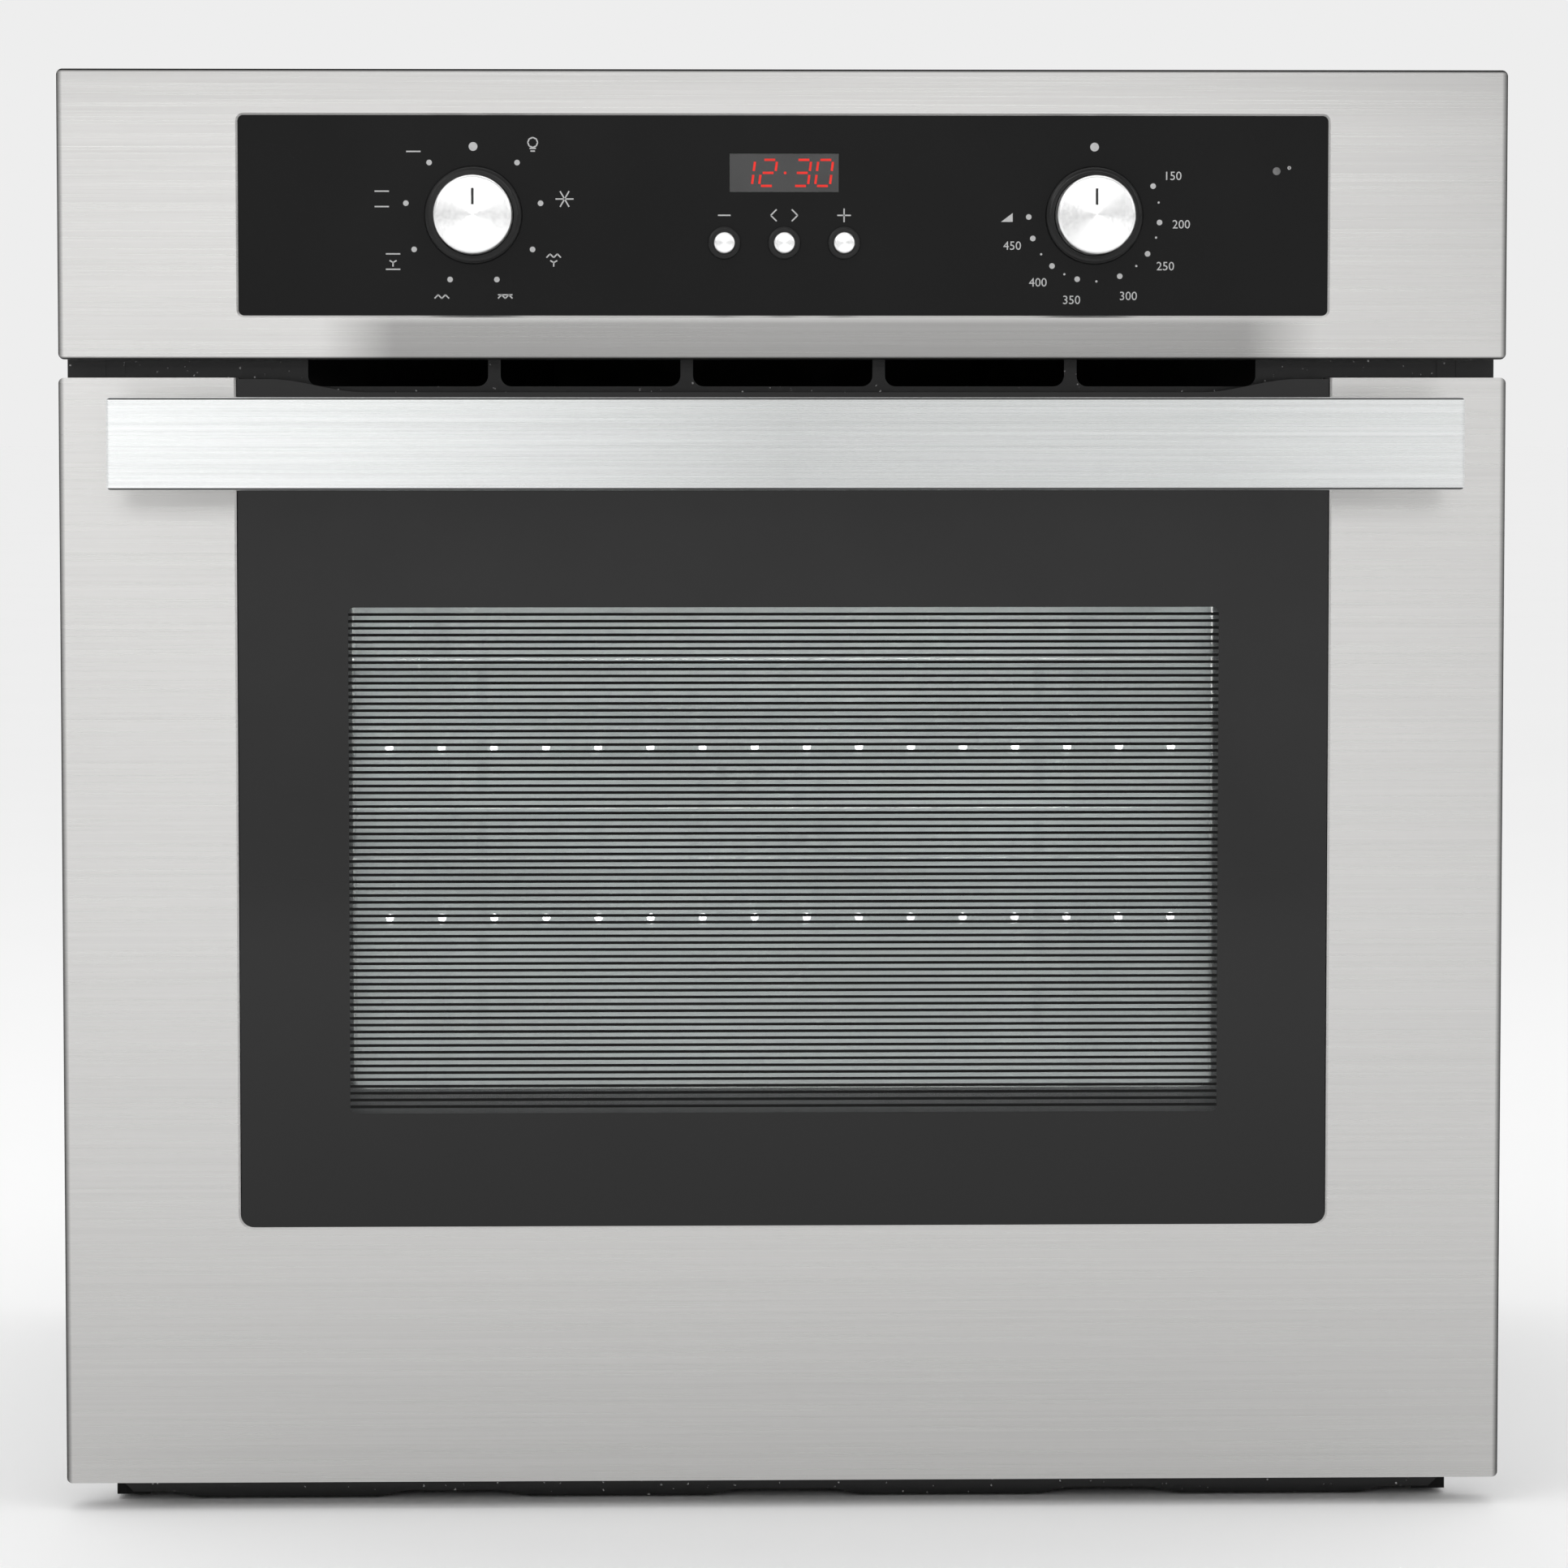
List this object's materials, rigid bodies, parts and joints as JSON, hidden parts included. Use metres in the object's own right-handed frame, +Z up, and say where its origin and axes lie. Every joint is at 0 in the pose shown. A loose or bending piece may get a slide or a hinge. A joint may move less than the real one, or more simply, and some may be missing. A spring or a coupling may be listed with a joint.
{
  "type": "wall oven",
  "caption": "Built-in electric wall oven with a drop-down glazed door, bar handle, wire racks and a knob control panel with a timer display.",
  "frame": {"origin": "under the middle of the oven's outer box, on the plane its base rests on", "axes": "+Z up, +Y from the door towards the back panel, +X to the right of a user facing the door"},
  "size_m": [0.595, 0.615, 0.595],
  "materials": {
    "brushed_stainless": "horizontal brushed grain",
    "satin_steel": "satin, spun on the knobs",
    "black_enamel": "speckled gloss enamel",
    "grey_enamel": "pale grey gloss enamel",
    "galvanised_steel": "galvanised, faint spangle",
    "mineral_wool": "matte fibre blanket",
    "silicone": "matte",
    "chromed_wire": "bright",
    "zinc_screw": "zinc plated",
    "element_sheath": "heat-darkened satin",
    "motor_steel": "satin",
    "black_plastic": "moulded",
    "gloss_black_plastic": "polished",
    "spindle_steel": "turned",
    "dark_glass": "printed black behind, polished",
    "tinted_glass": "grey tint, polished",
    "clear_glass": "clear, polished",
    "porcelain": "glazed white",
    "circuit_board": "green solder mask",
    "lens_plastic": "translucent grey"
  },
  "bodies": {
    "chassis": {"front_flange": "black_enamel", "bottom_trim": "black_enamel", "cavity_liner": "grey_enamel", "insulation_blanket": "mineral_wool", "door_gasket": "silicone", "base_pan": "galvanised_steel", "side_panels": "galvanised_steel", "top_cover": "galvanised_steel", "rear_panel": "galvanised_steel", "rear_screws": "zinc_screw", "conduit_bushing": "black_plastic", "terminal_box": "black_plastic", "broil_element": "element_sheath", "bake_element": "element_sheath", "convection_element": "element_sheath", "fan_baffle": "grey_enamel", "convection_motor": "motor_steel", "lamp_lens": "clear_glass", "lamp_bulb": "clear_glass", "lamp_holder": "porcelain", "temperature_sensor": "element_sheath", "rack_guides": "chromed_wire", "control_fascia": "brushed_stainless", "control_glass": "dark_glass", "display_window": "tinted_glass", "indicator_lens": "lens_plastic", "knob_bezels": "gloss_black_plastic", "button_bezels": "gloss_black_plastic", "mode_switch": "black_plastic", "thermostat": "black_plastic", "timer_board": "circuit_board", "air_duct": "galvanised_steel", "blower_housing": "galvanised_steel", "blower_motor": "motor_steel", "left_hinge_bracket": "galvanised_steel", "right_hinge_bracket": "galvanised_steel"},
    "door": {"left_hinge_arm": "galvanised_steel", "right_hinge_arm": "galvanised_steel", "door_skin": "brushed_stainless", "outer_glass": "tinted_glass", "middle_glass": "clear_glass", "inner_glass": "clear_glass", "door_frame": "black_enamel", "glass_retainers": "black_plastic", "handle_bar": "brushed_stainless", "handle_posts": "satin_steel", "handle_screws": "zinc_screw"},
    "lower_rack": {"lower_rack": "chromed_wire", "lower_rack_stop": "chromed_wire"},
    "upper_rack": {"upper_rack": "chromed_wire", "upper_rack_stop": "chromed_wire"},
    "convection_fan": {"convection_fan": "galvanised_steel"},
    "cooling_fan": {"cooling_fan": "galvanised_steel"},
    "mode_spindle": {"mode_spindle": "spindle_steel"},
    "mode_knob": {"mode_knob": "satin_steel"},
    "temperature_spindle": {"temperature_spindle": "spindle_steel"},
    "temperature_knob": {"temperature_knob": "satin_steel"},
    "minus_button": {"minus_button": "satin_steel"},
    "set_button": {"set_button": "satin_steel"},
    "plus_button": {"plus_button": "satin_steel"}
  },
  "joints": [
    {"name": "door_hinge", "type": "hinge", "parent": "chassis", "child": "door", "pos_m": [0, -0.2475, 0.016], "axis": [1, 0, 0], "range_deg": [0, 90]},
    {"name": "lower_rack_slide", "type": "slide", "parent": "chassis", "child": "lower_rack", "axis": [0, -1, 0], "range_m": [0, 0.25]},
    {"name": "upper_rack_slide", "type": "slide", "parent": "chassis", "child": "upper_rack", "axis": [0, -1, 0], "range_m": [0, 0.25]},
    {"name": "convection_fan_spin", "type": "hinge", "parent": "chassis", "child": "convection_fan", "pos_m": [0, 0.2025, 0.242], "axis": [0, 1, 0], "continuous": true},
    {"name": "cooling_fan_spin", "type": "hinge", "parent": "chassis", "child": "cooling_fan", "pos_m": [0, 0.0925, 0.52], "axis": [1, 0, 0], "continuous": true},
    {"name": "mode_turn", "type": "hinge", "parent": "chassis", "child": "mode_spindle", "pos_m": [-0.1275, -0.2375, 0.5355], "axis": [0, 1, 0], "continuous": true},
    {"name": "mode_push", "type": "slide", "parent": "mode_spindle", "child": "mode_knob", "axis": [0, 1, 0], "range_m": [0, 0.009], "stiffness_N_per_m": 150, "springref_m": -0.004},
    {"name": "temperature_turn", "type": "hinge", "parent": "chassis", "child": "temperature_spindle", "pos_m": [0.1275, -0.2375, 0.5355], "axis": [0, 1, 0], "range_deg": [0, 269]},
    {"name": "temperature_push", "type": "slide", "parent": "temperature_spindle", "child": "temperature_knob", "axis": [0, 1, 0], "range_m": [0, 0.009], "stiffness_N_per_m": 150, "springref_m": -0.004},
    {"name": "minus_button_press", "type": "slide", "parent": "chassis", "child": "minus_button", "axis": [0, 1, 0], "range_m": [0, 0.0015], "stiffness_N_per_m": 400, "springref_m": -0.001},
    {"name": "set_button_press", "type": "slide", "parent": "chassis", "child": "set_button", "axis": [0, 1, 0], "range_m": [0, 0.0015], "stiffness_N_per_m": 400, "springref_m": -0.001},
    {"name": "plus_button_press", "type": "slide", "parent": "chassis", "child": "plus_button", "axis": [0, 1, 0], "range_m": [0, 0.0015], "stiffness_N_per_m": 400, "springref_m": -0.001}
  ],
  "couplings": [
    {"joint": "lower_rack_slide", "follows": "door_hinge", "m_per_rad": 0.15909},
    {"joint": "upper_rack_slide", "follows": "door_hinge", "m_per_rad": 0.15909}
  ]
}
